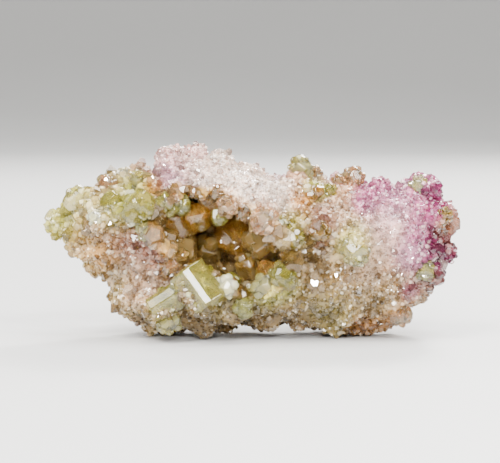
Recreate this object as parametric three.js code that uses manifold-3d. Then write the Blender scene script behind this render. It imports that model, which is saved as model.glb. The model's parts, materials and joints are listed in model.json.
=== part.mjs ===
// A hand-sized cluster of intergrown vesuvianite crystals with an open hollow (a vug) in its front.
// Millimetres, +X to the right and +Z up. The front faces -Y, and the cluster rests on Z = 0.
// Two pieces: crystal_mass, the whole intergrown body, and vug_crust, the crystals that line the hollow.

import * as THREE from "three";
import { mergeVertices } from "three/addons/utils/BufferGeometryUtils.js";
import Module from "manifold-3d";

const wasm = await Module();
wasm.setup();

// Driving dimensions
const HALF_DEPTH = 9.2; // from the middle plane to the front and back of the body
const SKIN = 1.15; // height of the crystals that cover the body
const ROUGHNESS = 0.5; // height of the body's own facets
const BODY_DETAIL = 3; // how finely the body's facets divide an icosahedron
const SQUARENESS = 2.7; // over 2 the body is fuller than an ellipsoid
const GAP = 0.3; // clearance between the hollow's wall and its crust
const WALL = 0.9; // thickness of the crust between its crystals
const COVER_CRYSTALS = 96; // intergrown crystals that cover the body
const COVER_HALF = [1.5, 3.1]; // least and greatest half width of those
const EIGHT_SIDED = 1.55; // a large crystal over this half width has eight sides
const MOUTH_CRYSTALS = 12; // crystals round the mouth of the hollow
const MOUTH_HALF = [0.9, 1.7]; // least and greatest half width of those
const LINING_CRYSTALS = 9; // crystals of the hollow's wall, besides the named ones
const LINING_HALF = [1.9, 2.6]; // least and greatest half width of those
const VIEW_CENTRE = [0, 10.4]; // X and Z of the middle of the front view

// The front silhouette of the cluster, clockwise from its left tip, as X and Z.
const SILHOUETTE = [
  [-21.9, 12.6],
  [-20.8, 15.3],
  [-17.2, 16.9],
  [-14.2, 18.2],
  [-11.6, 18.8],
  [-9.9, 20.5],
  [-7.6, 21.4],
  [-4.0, 20.9],
  [-1.0, 20.0],
  [3.0, 18.8],
  [5.8, 19.0],
  [8.6, 17.2],
  [11.2, 18.0],
  [15.0, 17.6],
  [19.0, 17.8],
  [21.3, 15.8],
  [22.5, 12.0],
  [22.1, 8.4],
  [19.6, 5.6],
  [17.6, 2.2],
  [14.4, 1.0],
  [9.0, 0.9],
  [2.0, 0.7],
  [-4.0, 0.1],
  [-9.0, -0.3],
  [-12.4, 0.8],
  [-14.6, 3.2],
  [-16.5, 5.8],
  [-17.4, 8.0],
  [-19.6, 9.0],
  [-21.5, 10.8],
];

// Broad swellings and dips of the body: middle, height along the surface's own direction, and reach.
const SWELLS = [
  { name: "brow over the hollow", at: [-2.5, -9.5, 17.2], height: 1.5, reach: 4.6 },
  { name: "brow, left end", at: [-8.6, -8.0, 18.0], height: 1.0, reach: 3.2 },
  { name: "brow, right end", at: [1.6, -9.8, 15.4], height: 1.1, reach: 2.8 },
  { name: "lower lip", at: [-3.0, -9.5, 4.4], height: 1.3, reach: 4.4 },
  { name: "right shoulder", at: [13.5, -9.0, 11.0], height: 1.2, reach: 5.5 },
  { name: "right end", at: [19.5, -5.0, 11.5], height: 0.8, reach: 3.4 },
  { name: "groove between brow and shoulder", at: [7.4, -8.5, 14.0], height: -1.5, reach: 2.8 },
  { name: "left shoulder", at: [-13.0, -7.5, 13.5], height: 0.9, reach: 3.4 },
  { name: "neck of the left lobe", at: [-16.5, -6.0, 8.0], height: -1.2, reach: 3.0 },
  { name: "top, rear hump", at: [4.0, 6.5, 17.0], height: 1.3, reach: 4.5 },
  { name: "top, rear dip", at: [-5.0, 8.0, 17.0], height: -1.3, reach: 4.2 },
  { name: "back, left hump", at: [-10.0, 9.5, 9.5], height: 1.2, reach: 4.6 },
  { name: "back, middle dip", at: [1.5, 10.5, 9.0], height: -1.6, reach: 4.0 },
  { name: "back, right hump", at: [10.5, 9.5, 8.5], height: 1.3, reach: 5.0 },
  { name: "left foot", at: [-8.0, 0.5, 0.5], height: 1.1, reach: 4.6 },
  { name: "right foot", at: [9.5, 0.8, 0.8], height: 1.9, reach: 5.6 },
];

// The hollow: an ellipsoid that opens through the front.
const VUG = { at: [-3.2, -9.4, 11.2], radii: [7.7, 8.6, 5.2] };
const VUG_FALL = 0.28; // how far it falls to the right, for each millimetre

// Large crystals on the front, as seen from the front: X, Z, half width, and half length over half width.
const LARGE_CRYSTALS = [
  {
    name: "lip, left of the middle",
    x: -5.6,
    z: 5.6,
    half: 2.35,
    long: 1.15,
    lean: [0.61, -0.15, -0.79],
    spin: 22.5,
    lift: 0.4,
  },
  {
    name: "lip, left end",
    x: -9.4,
    z: 4.3,
    half: 2.1,
    long: 1.0,
    lean: [0.83, 0.12, 0.55],
    spin: 6,
    lift: 0.35,
  },
  { name: "lip, colourless", x: -2.8, z: 6.4, half: 1.25 },
  { name: "lip, pale face", x: 1.7, z: 5.8, half: 1.4, lean: [0.7, -0.5, 0.4] },
  { name: "lip, green", x: 3.3, z: 7.5, half: 1.35 },
  { name: "lip, low", x: -0.9, z: 4.0, half: 1.1 },
  { name: "pillar right of the hollow", x: 4.2, z: 12.0, half: 1.6, long: 1.3, lean: [0.15, -0.6, -0.7] },
  { name: "shoulder, pale tablet", x: 11.2, z: 10.8, half: 1.9 },
  { name: "groove, clear", x: 7.0, z: 12.3, half: 1.6 },
  { name: "groove, amber", x: 6.7, z: 15.8, half: 1.3 },
  { name: "right edge, green bead", x: 19.6, z: 7.9, half: 1.05 },
  { name: "right top, pale", x: 18.7, z: 16.5, half: 1.7 },
  { name: "right edge, clear", x: 21.0, z: 13.8, half: 1.3 },
  { name: "right edge, dark", x: 21.4, z: 9.4, half: 1.2 },
  { name: "right foot edge", x: 16.3, z: 2.6, half: 1.3 },
  { name: "left top, pale green", x: -19.3, z: 15.1, half: 1.4, lean: [-0.45, -0.3, 0.75] },
  { name: "left tip, yellow", x: -21.3, z: 12.2, half: 1.0 },
  { name: "left ridge, pink", x: -16.0, z: 16.8, half: 1.15 },
  { name: "left ridge, clear bead", x: -14.3, z: 18.0, half: 0.9 },
  { name: "left ridge, yellow", x: -12.4, z: 17.5, half: 1.1 },
  { name: "left slope, pale green", x: -17.0, z: 14.7, half: 1.1 },
  { name: "left slope, green", x: -14.5, z: 16.2, half: 1.2 },
  { name: "left slope, large yellow", x: -12.0, z: 14.7, half: 1.9 },
  { name: "left of the hollow", x: -11.4, z: 12.3, half: 1.1 },
  { name: "left top corner of the hollow", x: -8.5, z: 15.6, half: 1.4 },
  { name: "brow, sharp point", x: -11.2, z: 18.9, half: 0.7 },
  { name: "brow rim, pink drip", x: 1.4, z: 13.4, half: 1.9, long: 0.8 },
  { name: "brow rim, peach", x: -2.4, z: 14.9, half: 1.3 },
  { name: "crest, yellow bead", x: 5.4, z: 18.8, half: 1.35 },
  { name: "crest, small bead", x: 7.0, z: 17.9, half: 0.95 },
  { name: "saddle, green", x: 8.6, z: 16.4, half: 0.9 },
  { name: "saddle, peach", x: 9.8, z: 17.2, half: 0.95 },
  { name: "saddle, pink bead", x: 11.2, z: 17.9, half: 1.15 },
];

// Crystals that line the hollow: middle, half width and leaning.
const VUG_CRYSTALS = [
  { name: "big brown, left", at: [-8.0, -4.9, 10.3], half: 2.3, lean: [0.3, -0.9, 0.2] },
  { name: "amber wall, upper left", at: [-8.6, -4.6, 14.0], half: 2.2, lean: [0.4, -0.8, -0.3] },
  { name: "gold, upper middle", at: [-4.4, -4.6, 15.0], half: 2.1, lean: [0.0, -0.8, -0.6] },
  { name: "brown with a bright face", at: [-0.4, -2.9, 10.8], half: 2.5, lean: [-0.15, -0.85, 0.35] },
  { name: "brown, right", at: [2.4, -5.6, 10.4], half: 1.9, lean: [-0.5, -0.8, 0.1] },
  { name: "brown, upper right", at: [1.0, -6.2, 13.2], half: 1.5, lean: [-0.2, -0.8, -0.5] },
  { name: "deep middle", at: [-4.6, -1.9, 10.2], half: 1.9, lean: [0.1, -0.9, 0.3] },
  { name: "floor, left", at: [-9.0, -8.8, 8.4], half: 1.3, lean: [0.5, -0.5, 0.7] },
  { name: "floor, middle", at: [-5.6, -4.6, 7.3], half: 1.4, lean: [0.1, -0.6, 0.8] },
  { name: "floor, right", at: [-0.6, -5.2, 6.8], half: 1.3, lean: [-0.2, -0.6, 0.8] },
  { name: "floor, right end", at: [2.2, -7.8, 7.6], half: 1.2, lean: [-0.5, -0.5, 0.7] },
  { name: "hanging clear", at: [-5.7, -8.6, 15.0], half: 1.5, lean: [0.1, -0.5, -0.85] },
  { name: "hanging small", at: [-2.2, -8.8, 14.9], half: 1.1, lean: [0.0, -0.5, -0.85] },
];

// A repeatable random number from 0 to 1.
function seededRandom(seed) {
  let state = seed;
  return () => {
    state = (state + 0x6d2b79f5) | 0;
    let mixed = Math.imul(state ^ (state >>> 15), 1 | state);
    mixed = (mixed + Math.imul(mixed ^ (mixed >>> 7), 61 | mixed)) ^ mixed;
    return ((mixed ^ (mixed >>> 14)) >>> 0) / 4294967296;
  };
}

// A closed geometry as a solid, its shared vertices merged and its collapsed faces dropped.
function solidOf(geometry) {
  const bare = geometry.index ? geometry.toNonIndexed() : geometry.clone();
  bare.deleteAttribute("normal");
  bare.deleteAttribute("uv");
  const merged = mergeVertices(bare, 1e-4);
  const corners = [];
  const index = merged.index.array;
  for (let i = 0; i < index.length; i += 3) {
    const [a, b, c] = [index[i], index[i + 1], index[i + 2]];
    if (a !== b && b !== c && c !== a) corners.push(a, b, c);
  }
  return new wasm.Manifold(
    new wasm.Mesh({
      numProp: 3,
      vertProperties: merged.attributes.position.array,
      triVerts: new Uint32Array(corners),
    }),
  );
}

// The largest connected body of a solid. Crumbs that a cut has freed fall away.
function wholeOf(solid) {
  return solid.decompose().reduce((best, body) => (body.volume() > best.volume() ? body : best));
}

function geometryOf(solid) {
  const mesh = solid.getMesh();
  const geometry = new THREE.BufferGeometry();
  geometry.setAttribute("position", new THREE.BufferAttribute(mesh.vertProperties, 3));
  geometry.setIndex(new THREE.BufferAttribute(mesh.triVerts, 1));
  return geometry;
}

const silhouette = new THREE.CatmullRomCurve3(
  SILHOUETTE.map(([x, z]) => new THREE.Vector3(x, 0, z)),
  true,
  "centripetal",
);
const middle = new THREE.Vector3(VIEW_CENTRE[0], 0, VIEW_CENTRE[1]);
const swells = SWELLS.map((s) => ({ ...s, at: new THREE.Vector3(...s.at) }));

// The silhouette's point at a share of its length, drawn in by the height of the small crystals.
function rimPoint(around) {
  const spoke = silhouette.getPointAt(((around % 1) + 1) % 1).sub(middle);
  return spoke.setLength(spoke.length() - SKIN);
}

// The point of the body that lies towards a direction from its middle.
function bodyPoint(towards) {
  const around = Math.atan2(towards.z, -towards.x) / (2 * Math.PI);
  const [side, front] = [Math.hypot(towards.x, towards.z), -towards.y];
  const reach = (side ** SQUARENESS + Math.abs(front) ** SQUARENESS) ** (-1 / SQUARENESS);
  const point = rimPoint(around).multiplyScalar(side * reach).add(middle);
  point.y = -HALF_DEPTH * front * reach;
  const outward = point.clone().sub(middle);
  outward.x *= 0.35;
  outward.normalize();
  const wave = 0.62 * point.x + 1.3 * Math.sin(0.5 * point.z);
  let rise = 0.35 * Math.sin(wave) * Math.cos(0.55 * point.z + 0.4 * point.y);
  rise += 0.22 * Math.sin(1.25 * point.x - 0.9 * point.z + 0.8 * point.y);
  for (const swell of swells) {
    const away = point.distanceTo(swell.at) / swell.reach;
    rise += swell.height * Math.exp(-away * away);
  }
  return point.addScaledVector(outward, rise);
}

function bodyNormal(towards) {
  const sideways = new THREE.Vector3(0.3, 0.5, 0.8).cross(towards).normalize();
  const upwards = towards.clone().cross(sideways);
  const step = 0.02;
  const slope = (way) => bodyPoint(towards.clone().addScaledVector(way, step)).sub(bodyPoint(towards));
  const normal = slope(sideways).cross(slope(upwards)).normalize();
  return normal.dot(towards) < 0 ? normal.negate() : normal;
}

// The body, its corners moved a little so that its facets catch the light like rough crystal.
function bodyGeometry() {
  const random = seededRandom(3);
  const sphere = new THREE.IcosahedronGeometry(1, BODY_DETAIL);
  sphere.deleteAttribute("normal");
  sphere.deleteAttribute("uv");
  const geometry = mergeVertices(sphere, 1e-4);
  const position = geometry.attributes.position;
  for (let i = 0; i < position.count; i++) {
    const strewn = new THREE.Vector3(random() - 0.5, random() - 0.5, random() - 0.5).multiplyScalar(0.1);
    const towards = new THREE.Vector3().fromBufferAttribute(position, i).add(strewn).normalize();
    const rise = ROUGHNESS * (2 * random() - 1);
    const point = bodyPoint(towards).addScaledVector(bodyNormal(towards), rise);
    position.setXYZ(i, point.x, point.y, point.z);
  }
  return geometry;
}

// A stubby prism with a cut-off pyramid on top, and below it too where it has both ends.
function crystalGeometry({ half, long = 1, sides = 6, cap = 0.5, bothEnds = false }) {
  const length = half * long;
  const shoulder = 0.45 * length;
  const foot = bothEnds ? [[half * cap, -length], [half, -shoulder]] : [[half * 0.8, -length]];
  const profile = [[0, -length], ...foot, [half, shoulder], [half * cap, length], [0, length]];
  const geometry = new THREE.LatheGeometry(profile.map(([x, y]) => new THREE.Vector2(x, y)), sides);
  if (sides === 8) narrowEveryOtherFace(geometry);
  return geometry;
}

// Turns an eight-sided prism's corners in pairs, so that wide and narrow faces alternate.
function narrowEveryOtherFace(geometry) {
  const position = geometry.attributes.position;
  const turn = 0.16;
  for (let i = 0; i < position.count; i++) {
    const radius = Math.hypot(position.getX(i), position.getZ(i));
    const angle = Math.atan2(position.getX(i), position.getZ(i));
    const corner = Math.round(angle / (Math.PI / 4));
    const turned = angle + (corner % 2 ? turn : -turn);
    position.setXYZ(i, radius * Math.sin(turned), position.getY(i), radius * Math.cos(turned));
  }
}

// A crystal whose long axis points along lean, turned about it by spin degrees.
function crystalAt(options, at, lean, spin) {
  const up = new THREE.Vector3(0, 1, 0);
  const turn = new THREE.Quaternion().setFromUnitVectors(up, lean.clone().normalize());
  turn.multiply(new THREE.Quaternion().setFromAxisAngle(up, (spin * Math.PI) / 180));
  const geometry = crystalGeometry(options);
  geometry.applyMatrix4(new THREE.Matrix4().compose(at, turn, new THREE.Vector3(1, 1, 1)));
  return solidOf(geometry);
}

// Even directions, as on a sunflower's head wrapped round a ball: 0 is the front, the last the back.
function evenDirection(i, count) {
  const front = 1 - (2 * (i + 0.5)) / count;
  const side = Math.sqrt(1 - front * front);
  const angle = i * Math.PI * (3 - Math.sqrt(5));
  return new THREE.Vector3(side * Math.cos(angle), -front, side * Math.sin(angle));
}

const SEATS = 9000;
const seats = Array.from({ length: SEATS / 2 }, (_, i) => {
  const towards = evenDirection(i, SEATS);
  return { towards, at: bodyPoint(towards) };
});

// The place on the front of the body that shows at X and Z.
function seatOnFront(x, z) {
  const away = (seat) => Math.hypot(seat.at.x - x, seat.at.z - z);
  return seats.reduce((best, seat) => (away(seat) < away(best) ? seat : best));
}

function strewnVector(random, size) {
  return new THREE.Vector3(random() - 0.5, random() - 0.5, random() - 0.5).multiplyScalar(size);
}

// The large crystals, each made bigger all round by a margin.
function largeCrystals(margin = 0) {
  const random = seededRandom(11);
  return LARGE_CRYSTALS.map(({ x, z, half, long = 1, lean, spin, lift = 0.12 }) => {
    const seat = seatOnFront(x, z);
    const normal = bodyNormal(seat.towards);
    const along = lean ? new THREE.Vector3(...lean) : normal.clone().add(strewnVector(random, 0.6));
    const at = new THREE.Vector3(x, seat.at.y, z).addScaledVector(normal, lift * half);
    const sides = half > EIGHT_SIDED ? 8 : 5;
    const options = { half: half + margin, long, sides, bothEnds: lean !== undefined };
    return crystalAt(options, at, along, spin ?? 360 * random());
  });
}

// Crystals on the rim of the hollow, which break up its outline. They too can have a margin.
function mouthCrystals(margin = 0) {
  const random = seededRandom(31);
  const [least, greatest] = MOUTH_HALF;
  return Array.from({ length: MOUTH_CRYSTALS }, (_, i) => {
    const angle = ((i + 0.5 * random()) * 2 * Math.PI) / MOUTH_CRYSTALS;
    const away = VUG.radii[0] * Math.cos(angle);
    const seat = seatOnFront(VUG.at[0] + away, VUG.at[2] + VUG.radii[2] * Math.sin(angle) - VUG_FALL * away);
    const normal = bodyNormal(seat.towards);
    const half = least + (greatest - least) * random();
    const at = seat.at.clone().addScaledVector(normal, -0.25 * half);
    const lean = normal.clone().add(strewnVector(random, 1.6));
    return crystalAt({ half: half + margin, sides: 5 }, at, lean, 360 * random());
  });
}

// Crystals grown into each other all over the body, more of them small than large.
function coverCrystals() {
  const random = seededRandom(5);
  const [least, greatest] = COVER_HALF;
  return Array.from({ length: COVER_CRYSTALS }, (_, i) => {
    const towards = evenDirection(i, COVER_CRYSTALS).add(strewnVector(random, 0.2)).normalize();
    const half = least + (greatest - least) * random() ** 1.8;
    const sides = 4 + Math.round(1.2 * random());
    const normal = bodyNormal(towards);
    const crown = SKIN * (0.7 + 0.6 * random());
    const at = bodyPoint(towards).addScaledVector(normal, crown - half);
    const lean = normal.clone().add(strewnVector(random, 1.1));
    return crystalAt({ half, sides, cap: 0.45 }, at, lean, 360 * random());
  });
}

// The hollow's ellipsoid, drawn in by a distance.
function vugSolid(inset) {
  const geometry = new THREE.IcosahedronGeometry(1, 2);
  const [a, b, c] = VUG.radii;
  geometry.scale(a - inset, b - inset, c - inset);
  const position = geometry.attributes.position;
  for (let i = 0; i < position.count; i++) {
    const [x, y, z] = [position.getX(i), position.getY(i), position.getZ(i)];
    const wave = 1 + 0.07 * Math.sin(0.9 * x + 0.4 * y) * Math.cos(1.1 * z); // an uneven wall
    position.setXYZ(i, x * wave, y, z * wave - VUG_FALL * x);
  }
  geometry.translate(...VUG.at);
  return solidOf(geometry);
}

// Everything under the resting plane.
function belowRest() {
  const geometry = new THREE.BoxGeometry(80, 60, 10);
  geometry.translate(0, 0, -5);
  return solidOf(geometry);
}

function crystalMass(body) {
  const covered = wasm.Manifold.union([body, ...coverCrystals()]);
  const hollowed = wholeOf(covered.subtract(vugSolid(0)));
  const whole = wasm.Manifold.union([hollowed, ...largeCrystals(), ...mouthCrystals()]);
  return wholeOf(whole.subtract(belowRest()));
}

// Crystals all over the wall of the hollow, pointing into it.
function liningCrystals() {
  const random = seededRandom(23);
  const [least, greatest] = LINING_HALF;
  return Array.from({ length: LINING_CRYSTALS }, (_, i) => {
    const towards = evenDirection(2 * LINING_CRYSTALS - 1 - i, 2 * LINING_CRYSTALS);
    const [x, y, z] = VUG.radii.map((radius, axis) => radius * towards.getComponent(axis));
    const half = least + (greatest - least) * random();
    const wall = new THREE.Vector3(x, y, z - VUG_FALL * x);
    const lean = towards.clone().negate().add(strewnVector(random, 1.1));
    const at = wall.addScaledVector(towards, 0.3 * half).add(new THREE.Vector3(...VUG.at));
    return crystalAt({ half, sides: 5 }, at, lean, 360 * random());
  });
}

function vugCrust(body) {
  const random = seededRandom(29);
  const bowl = vugSolid(GAP).subtract(vugSolid(GAP + WALL)).intersect(body);
  const named = VUG_CRYSTALS.map(({ at, half, lean }) =>
    crystalAt({ half }, new THREE.Vector3(...at), new THREE.Vector3(...lean), 360 * random()),
  );
  const grown = wasm.Manifold.union([bowl, ...named, ...liningCrystals()]);
  const roomFor = wasm.Manifold.union([...largeCrystals(GAP), ...mouthCrystals(GAP)]);
  return wholeOf(grown.intersect(vugSolid(GAP)).subtract(roomFor));
}

const body = solidOf(bodyGeometry());
const mass = crystalMass(body);
const crust = vugCrust(body);

const massMaterial = new THREE.MeshStandardMaterial({ color: "#dcb8b9", roughness: 0.28, metalness: 0 });
const crustMaterial = new THREE.MeshStandardMaterial({ color: "#a8813f", roughness: 0.16, metalness: 0 });

const massMesh = new THREE.Mesh(geometryOf(mass), massMaterial);
massMesh.name = "crystal_mass";
const crustMesh = new THREE.Mesh(geometryOf(crust), crustMaterial);
crustMesh.name = "vug_crust";

const cluster = new THREE.Group();
cluster.add(massMesh, crustMesh);

// The origin: on the resting plane, under the middle of the bounding box.
const bounds = new THREE.Box3().setFromObject(cluster);
const centre = bounds.getCenter(new THREE.Vector3());
cluster.position.set(-centre.x, -centre.y, -bounds.min.z);

export default cluster;
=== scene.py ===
import json
import math

import bmesh
import bpy
import numpy as np
from mathutils import Matrix, Vector, noise
from mathutils.bvhtree import BVHTree

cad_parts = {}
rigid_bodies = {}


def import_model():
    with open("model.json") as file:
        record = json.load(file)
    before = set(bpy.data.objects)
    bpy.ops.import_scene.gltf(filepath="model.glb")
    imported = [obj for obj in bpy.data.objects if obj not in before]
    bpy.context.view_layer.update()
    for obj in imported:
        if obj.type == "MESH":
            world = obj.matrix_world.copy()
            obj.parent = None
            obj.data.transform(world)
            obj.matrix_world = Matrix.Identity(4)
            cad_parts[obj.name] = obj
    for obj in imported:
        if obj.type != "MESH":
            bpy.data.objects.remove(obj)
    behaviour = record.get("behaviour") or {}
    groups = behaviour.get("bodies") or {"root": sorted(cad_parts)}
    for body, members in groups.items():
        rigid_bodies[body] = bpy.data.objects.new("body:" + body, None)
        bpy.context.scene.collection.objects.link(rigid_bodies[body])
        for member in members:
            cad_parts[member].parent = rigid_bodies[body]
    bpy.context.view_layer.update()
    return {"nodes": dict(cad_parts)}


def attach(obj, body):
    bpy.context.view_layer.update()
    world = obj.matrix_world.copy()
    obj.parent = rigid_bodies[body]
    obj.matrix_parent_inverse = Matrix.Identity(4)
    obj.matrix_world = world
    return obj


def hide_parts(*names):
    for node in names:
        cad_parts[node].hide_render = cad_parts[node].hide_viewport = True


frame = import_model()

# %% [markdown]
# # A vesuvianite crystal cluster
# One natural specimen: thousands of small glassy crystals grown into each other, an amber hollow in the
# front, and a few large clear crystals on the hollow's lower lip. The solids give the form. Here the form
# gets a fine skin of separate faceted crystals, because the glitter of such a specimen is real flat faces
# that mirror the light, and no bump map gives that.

MM = 0.001

# %% [markdown]
# ## Places on the front
# The front view is the guide, so places are named by where they show: millimetres to the right of the
# middle, and millimetres above the table. A ray shot from the front then finds the depth, and nearness
# to such a place says how much of its colour, grain or smoothness a point of the surface takes.

# %% From the front view to the surface
MODEL_SHIFT = Vector((-0.358, 0.606, 0.0)) * MM  # from the modelling centre to the resting centre
mass_node = frame["nodes"]["crystal_mass"]


def merged_copy(node, name):
    """A copy of a solid as a bmesh, its loose triangles merged into one skin."""
    bm = bmesh.new()
    bm.from_mesh(node.data)
    bmesh.ops.remove_doubles(bm, verts=bm.verts, dist=0.002 * MM)
    print(name, "starts from", len(bm.faces), "faces")
    return bm


mass_bm = merged_copy(mass_node, "body")
mass_tree = BVHTree.FromBMesh(mass_bm)


def surface_at(x, z, side=-1):
    """The point and the normal of the front (side -1) or back (1) at x and z of the front view, in mm."""
    start = Vector((x * MM, side * 60 * MM, z * MM)) + Vector((MODEL_SHIFT.x, 0, 0))
    point, normal, _, _ = mass_tree.ray_cast(start, Vector((0, -side, 0)))
    if point is None:
        near = Vector((start.x, side * 4 * MM, start.z))
        point, normal, _, _ = mass_tree.find_nearest(near)
    return point, normal


def front_view(points):
    """Millimetres to the right of the middle, and millimetres above the table."""
    return points[:, 0] / MM - MODEL_SHIFT.x / MM, points[:, 2] / MM


def nearness(across, up, x, z, reach):
    """From 1 at a place of the front view to nearly 0 two reaches away."""
    return np.exp(-((across - x) ** 2 + (up - z) ** 2) / reach**2)


def paint(red, green, blue):
    """A screen colour from 0 to 255 as the linear colour that shaders use."""
    return tuple(
        (c / 255 / 12.92) if c <= 10 else ((c / 255 + 0.055) / 1.055) ** 2.4 for c in (red, green, blue)
    )


# %% [markdown]
# ## Camera, floor and light
# The specimen is seen straight on, from a little above. A long lens from 30 cm keeps the cluster's
# proportions. The floor and the room are plain and pale. Five soft lights give the form, and small lamps
# all round it give single faces their glint.

# %% Camera
PICTURE_WIDTH = 500  # pixels
PIXELS_PER_MM = 9.2
VIEW_WIDTH = PICTURE_WIDTH / PIXELS_PER_MM * MM
DISTANCE = 0.30
ELEVATION = math.radians(4)
AIM = Vector((-0.2 * MM + MODEL_SHIFT.x, -8 * MM, 12.25 * MM))

camera_data = bpy.data.cameras.new("camera")
camera_data.lens = camera_data.sensor_width * DISTANCE / VIEW_WIDTH
camera_data.clip_start = 0.01
camera = bpy.data.objects.new("camera", camera_data)
camera.location = AIM + DISTANCE * Vector((0, -math.cos(ELEVATION), math.sin(ELEVATION)))
camera.rotation_euler = (math.pi / 2 - ELEVATION, 0, 0)
bpy.context.scene.collection.objects.link(camera)
bpy.context.scene.camera = camera
print("lens", round(camera_data.lens), "mm")


# %% Lights
WHITE = (1.0, 1.0, 1.0)
MIDDLE = Vector((0, 0, 10 * MM))


def soft_light(name, place, size, power, colour=WHITE, target=MIDDLE):
    """A square area light at a place, looking at a target."""
    data = bpy.data.lights.new(name, "AREA")
    data.size = size
    data.energy = power
    data.color = colour
    light = bpy.data.objects.new(name, data)
    light.location = place
    light.rotation_euler = (target - Vector(place)).to_track_quat("-Z", "Y").to_euler()
    bpy.context.scene.collection.objects.link(light)


# place, size, power, colour
STUDIO_LIGHTS = {
    "key": ((-0.20, -0.24, 0.44), 0.22, 4.0, (1.0, 0.965, 0.90)),
    "top": ((0.08, 0.02, 0.42), 0.30, 3.2, WHITE),
    "back": ((0.12, 0.34, 0.26), 0.16, 3.0, (1.0, 0.97, 0.93)),
    "side": ((0.36, -0.22, 0.18), 0.16, 1.0, WHITE),
    "fill": ((-0.06, -0.42, 0.10), 0.20, 0.5, (1.0, 0.96, 0.90)),
}
for name, settings in STUDIO_LIGHTS.items():
    soft_light(name, *settings)

# %% Small lamps for the glints, and the room
SPARK_SIZE = 0.03
SPARK_POWER = 1.5
SPARK_PLACES = [
    (0.12, -0.38, 0.30),
    (-0.34, -0.30, 0.16),
    (-0.16, -0.42, 0.32),
    (0.32, -0.30, 0.32),
    (0.02, -0.46, 0.20),
    (0.14, 0.40, 0.30),
    (-0.26, 0.32, 0.26),
]
for number, place in enumerate(SPARK_PLACES):
    soft_light(f"spark {number}", place, SPARK_SIZE, SPARK_POWER)

ROOM_COLOUR = (1.0, 0.98, 0.95, 1)
ROOM_STRENGTH = 0.22
world = bpy.data.worlds.new("room")
world.use_nodes = True
background = world.node_tree.nodes["Background"]
background.inputs["Color"].default_value = ROOM_COLOUR
background.inputs["Strength"].default_value = ROOM_STRENGTH
bpy.context.scene.world = world
print(len(bpy.data.lights), "lamps")

# %% [markdown]
# ## Shader expressions
# Node trees are easier to read as formulas. A small class wraps a socket, so that sums and products of
# sockets add their own Math nodes, and one method adds any other node.


# %% Sockets as numbers
class Value:
    """A node's output that can be used in Python arithmetic."""

    def __init__(self, tree, socket):
        self.tree = tree
        self.socket = socket

    def math(self, operation, *others):
        node = self.tree.nodes.new("ShaderNodeMath")
        node.operation = operation
        for slot, item in zip(node.inputs, (self, *others)):
            connect(self.tree, item, slot)
        return Value(self.tree, node.outputs[0])

    def __add__(self, other):
        return self.math("ADD", other)

    def __mul__(self, other):
        return self.math("MULTIPLY", other)

    def __sub__(self, other):
        return self.math("SUBTRACT", other)

    def __rsub__(self, other):
        return (self * -1) + other

    def __pow__(self, other):
        return self.math("POWER", other)

    __radd__ = __add__
    __rmul__ = __mul__


def connect(tree, item, slot):
    """Links a value to a socket, or sets a plain number or colour on it."""
    if isinstance(item, Value):
        tree.links.new(item.socket, slot)
    else:
        slot.default_value = item


class Tree:
    """A node tree with one way of adding a node: its type, its settings, and its inputs by name."""

    def __init__(self, tree):
        self.tree = tree
        tree.nodes.clear()

    def node(self, kind, settings=None, output=0, **inputs):
        node = self.tree.nodes.new(kind)
        for key, setting in (settings or {}).items():
            setattr(node, key, setting)
        for key, item in inputs.items():
            slot = next(s for s in node.inputs if s.enabled and s.name.replace(" ", "_") == key)
            connect(self.tree, item, slot)
        return Value(self.tree, node.outputs[output]) if node.outputs else None

    def vectors(self, operation, first, second):
        """A Vector Math node on two values."""
        result = self.node("ShaderNodeVectorMath", {"operation": operation})
        connect(self.tree, first, result.socket.node.inputs[0])
        connect(self.tree, second, result.socket.node.inputs[1])
        return result


# %% [markdown]
# ## Finishes
# Fine crystals carry their colour with them: each one stores the colour of the place where it grew, and a
# random shade of its own. The large clear ones are see-through glass that takes its colour from the path
# that the light travels inside, as the mineral does.


# %% Fine crystals and body
def new_material(name):
    material = bpy.data.materials.new(name)
    material.use_nodes = True
    return material, Tree(material.node_tree)


WHITE_SUGAR = (*paint(250, 238, 218), 1)  # the palest crystals are nearly white
CRYSTAL_IOR = 1.65
GLOW_DEPTH = 1.2 * MM  # how far light spreads under the skin


def crystal_skin(name, transmission, roughness, subsurface=0.0):
    """Glassy mineral whose colour and shade come from the piece's own attributes."""
    material, tree = new_material(name)
    colour = tree.node("ShaderNodeAttribute", {"attribute_name": "tint"})
    shade = tree.node("ShaderNodeAttribute", {"attribute_name": "shade"}, output=2)
    place = tree.node("ShaderNodeTexCoord", output=3)
    mottle = tree.node("ShaderNodeTexNoise", Vector=place, Scale=900.0, Detail=3.0)
    # most crystals are near the mean and a few are bright, and soft clouds run across them all
    light = (shade ** 2.5) * 1.1 + mottle * 1.5 - 0.15
    grey = tree.node("ShaderNodeCombineXYZ", X=light, Y=light, Z=light)
    tinted = tree.vectors("MULTIPLY", colour, grey)
    sugar = tree.node(
        "ShaderNodeMix", {"data_type": "RGBA"}, output=2, Factor=(shade ** 5) * 0.5, A=tinted, B=WHITE_SUGAR
    )
    shader = tree.node(
        "ShaderNodeBsdfPrincipled",
        Base_Color=sugar,
        Roughness=roughness * (0.5 + shade * 0.9) + mottle * 0.03,
        IOR=CRYSTAL_IOR,
        Transmission_Weight=transmission,
        Subsurface_Weight=subsurface,
        Subsurface_Radius=(1.0, 0.7, 0.5),
        Subsurface_Scale=GLOW_DEPTH,
    )
    tree.node("ShaderNodeOutputMaterial", Surface=shader)
    print(name, "has", len(tree.tree.nodes), "nodes")
    return material


STONE_IOR = 1.71
STONE_HAZE_DEPTH = 0.5 * MM
USUAL_CLARITY = 0.86


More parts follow.
